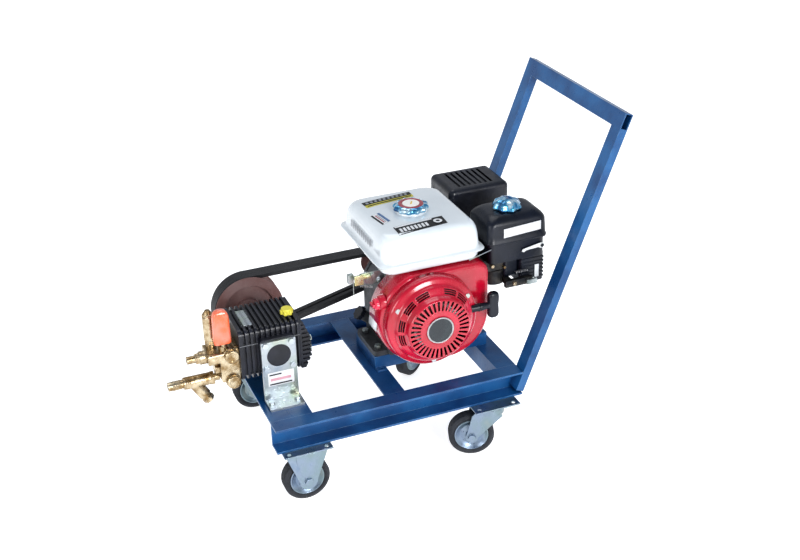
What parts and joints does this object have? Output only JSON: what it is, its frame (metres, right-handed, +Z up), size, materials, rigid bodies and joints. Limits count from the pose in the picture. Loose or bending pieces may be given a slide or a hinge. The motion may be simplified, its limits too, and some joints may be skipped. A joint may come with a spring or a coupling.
{
  "type": "engine-driven pressure washer pump trolley",
  "caption": "Petrol engine driving a triplex plunger pump by V-belts, on a steel trolley with casters and a leaning push handle.",
  "frame": {"origin": "on the floor under the centre of the deck", "axes": "+X towards the push handle, +Y towards the belt side, +Z up"},
  "size_m": [0.9652, 0.48, 0.7405],
  "materials": {
    "blue_frame_paint": "semi-gloss",
    "caster_zinc": "zinc plated",
    "grey_rubber": "matt",
    "cast_aluminium": "cast",
    "bare_steel": "machined",
    "red_enamel": "gloss",
    "black_plastic": "satin",
    "red_plastic": "gloss",
    "rope_cord": "braided",
    "black_steel_sheet": "satin",
    "dark_foam": "open cell",
    "cap_plastic": "gloss",
    "zinc_plate": "zinc plated",
    "zinc_bolts": "zinc plated",
    "die_cast_zinc": "die cast",
    "white_enamel": "gloss",
    "pulley_iron": "primed",
    "belt_rubber": "matt",
    "brass": "as forged",
    "plunger_ceramic": "polished ceramic",
    "seal_rubber": "matt",
    "orange_plastic": "satin",
    "yellow_plastic": "satin"
  },
  "bodies": {
    "chassis": {"side_rails": "blue_frame_paint", "cross_members": "blue_frame_paint", "engine_base_frame": "blue_frame_paint", "push_handle": "blue_frame_paint", "rigid_caster_forks": "caster_zinc", "swivel_caster_plates": "caster_zinc", "engine_crankcase": "cast_aluminium", "crankcase_side_cover": "cast_aluminium", "cylinder_head": "cast_aluminium", "rocker_cover": "cast_aluminium", "main_bearings": "bare_steel", "fan_cover": "red_enamel", "recoil_case": "red_enamel", "air_cleaner_tray": "black_plastic", "air_cleaner_lid": "black_plastic", "air_filter_element": "dark_foam", "muffler": "black_steel_sheet", "muffler_guard": "black_steel_sheet", "pump_rear_cover": "black_steel_sheet", "pump_crankcase": "black_steel_sheet", "pump_bearing_covers": "black_steel_sheet", "pump_brackets": "zinc_plate", "throttle_plate": "zinc_plate", "hex_bolts": "zinc_bolts", "carburettor": "die_cast_zinc", "fuel_tank": "white_enamel", "drive_belts": "belt_rubber", "pump_manifold": "brass", "gallery_plugs": "brass", "outlet_valve_set": "brass", "inlet_strainer": "brass", "inlet_hose_tail": "brass", "plunger_seals": "seal_rubber"},
    "near_left_wheel": {"near_left_wheel": "grey_rubber"},
    "far_left_wheel": {"far_left_wheel": "grey_rubber"},
    "near_right_swivel": {"near_right_swivel_fork": "caster_zinc"},
    "near_right_wheel": {"near_right_wheel": "grey_rubber"},
    "far_right_swivel": {"far_right_swivel_fork": "caster_zinc"},
    "far_right_wheel": {"far_right_wheel": "grey_rubber"},
    "engine_crank": {"engine_crankshaft": "bare_steel", "flywheel_fan": "cast_aluminium", "engine_pulley": "pulley_iron"},
    "pump_crank": {"pump_crankshaft": "bare_steel", "pump_pulley": "pulley_iron"},
    "piston": {"piston": "cast_aluminium"},
    "near_plunger": {"near_plunger": "plunger_ceramic"},
    "middle_plunger": {"middle_plunger": "plunger_ceramic"},
    "far_plunger": {"far_plunger": "plunger_ceramic"},
    "fuel_cap": {"fuel_cap": "cap_plastic"},
    "air_cleaner_knob": {"air_cleaner_knob": "cap_plastic"},
    "oil_dipstick": {"oil_dipstick": "black_plastic"},
    "pump_oil_cap": {"pump_oil_cap": "yellow_plastic"},
    "choke_lever": {"choke_lever": "zinc_plate"},
    "fuel_valve_lever": {"fuel_valve_lever": "zinc_plate"},
    "throttle_lever": {"throttle_lever": "zinc_plate"},
    "stop_switch": {"stop_switch": "red_plastic"},
    "starter_grip": {"starter_grip": "black_plastic", "starter_rope": "rope_cord"},
    "starter_reel": {"starter_reel": "bare_steel"},
    "relief_lever": {"relief_lever": "orange_plastic"}
  },
  "joints": [
    {"name": "near_left_wheel_spin", "type": "hinge", "parent": "chassis", "child": "near_left_wheel", "pos_m": [-0.216, -0.19, 0.05], "axis": [0, 1, 0], "continuous": true},
    {"name": "far_left_wheel_spin", "type": "hinge", "parent": "chassis", "child": "far_left_wheel", "pos_m": [-0.216, 0.19, 0.05], "axis": [0, 1, 0], "continuous": true},
    {"name": "near_right_swivel_turn", "type": "hinge", "parent": "chassis", "child": "near_right_swivel", "pos_m": [0.206, -0.2, 0.12], "axis": [0, 0, 1], "continuous": true},
    {"name": "far_right_swivel_turn", "type": "hinge", "parent": "chassis", "child": "far_right_swivel", "pos_m": [0.206, 0.2, 0.12], "axis": [0, 0, 1], "continuous": true},
    {"name": "near_right_wheel_spin", "type": "hinge", "parent": "near_right_swivel", "child": "near_right_wheel", "pos_m": [0.16653, -0.18563, 0.05], "axis": [0.342, 0.9397, 0], "continuous": true},
    {"name": "far_right_wheel_spin", "type": "hinge", "parent": "far_right_swivel", "child": "far_right_wheel", "pos_m": [0.17246, 0.17472, 0.05], "axis": [-0.6018, 0.7986, 0], "continuous": true},
    {"name": "engine_crank_spin", "type": "hinge", "parent": "chassis", "child": "engine_crank", "pos_m": [0.088, 0, 0.333], "axis": [0, 1, 0], "continuous": true},
    {"name": "pump_crank_spin", "type": "hinge", "parent": "chassis", "child": "pump_crank", "pos_m": [-0.228, 0, 0.294], "axis": [0, 1, 0], "continuous": true},
    {"name": "piston_stroke", "type": "slide", "parent": "chassis", "child": "piston", "axis": [0.9063, 0, 0.4226], "range_m": [-0.027, 0.027]},
    {"name": "near_plunger_stroke", "type": "slide", "parent": "chassis", "child": "near_plunger", "axis": [1, 0, 0], "range_m": [-0.009, 0.009]},
    {"name": "middle_plunger_stroke", "type": "slide", "parent": "chassis", "child": "middle_plunger", "axis": [1, 0, 0], "range_m": [-0.009, 0.009]},
    {"name": "far_plunger_stroke", "type": "slide", "parent": "chassis", "child": "far_plunger", "axis": [1, 0, 0], "range_m": [-0.009, 0.009]},
    {"name": "fuel_cap_turn", "type": "hinge", "parent": "chassis", "child": "fuel_cap", "pos_m": [0.102, -0.021, 0.532], "axis": [0, 0, 1], "range_deg": [0, 90]},
    {"name": "air_cleaner_knob_turn", "type": "hinge", "parent": "chassis", "child": "air_cleaner_knob", "pos_m": [0.301, -0.073, 0.52], "axis": [0, 0, 1], "continuous": true},
    {"name": "oil_dipstick_turn", "type": "hinge", "parent": "chassis", "child": "oil_dipstick", "pos_m": [0.028, 0.034, 0.25], "axis": [-0.766, 0, 0.6428], "continuous": true},
    {"name": "pump_oil_cap_turn", "type": "hinge", "parent": "chassis", "child": "pump_oil_cap", "pos_m": [-0.19, -0.042, 0.355], "axis": [0, 0, 1], "continuous": true},
    {"name": "choke_lever_swing", "type": "hinge", "parent": "chassis", "child": "choke_lever", "pos_m": [0.361, -0.122, 0.437], "axis": [0, 1, 0], "range_deg": [-30, 0]},
    {"name": "fuel_valve_swing", "type": "hinge", "parent": "chassis", "child": "fuel_valve_lever", "pos_m": [0.329, -0.131, 0.3595], "axis": [0, 1, 0], "range_deg": [-90, 0]},
    {"name": "throttle_lever_swing", "type": "hinge", "parent": "chassis", "child": "throttle_lever", "pos_m": [-0.014, -0.06, 0.408], "axis": [0, 1, 0], "range_deg": [-40, 20]},
    {"name": "stop_switch_turn", "type": "hinge", "parent": "chassis", "child": "stop_switch", "pos_m": [-0.018, -0.126, 0.381], "axis": [1, 0, 0], "range_deg": [0, 60]},
    {"name": "starter_grip_pull", "type": "slide", "parent": "chassis", "child": "starter_grip", "axis": [1, 0, 0], "range_m": [0, 0.45]},
    {"name": "starter_reel_spin", "type": "hinge", "parent": "chassis", "child": "starter_reel", "pos_m": [0.088, -0.17, 0.333], "axis": [0, 1, 0], "range_deg": [0, 640]},
    {"name": "relief_lever_tilt", "type": "hinge", "parent": "chassis", "child": "relief_lever", "pos_m": [-0.334, -0.057, 0.336], "axis": [1, 0, 0], "range_deg": [0, 30]}
  ],
  "couplings": [
    {"joint": "pump_crank_spin", "follows": "engine_crank_spin", "ratio": 0.4795},
    {"joint": "starter_reel_spin", "follows": "starter_grip_pull", "rad_per_m": 23.81}
  ]
}
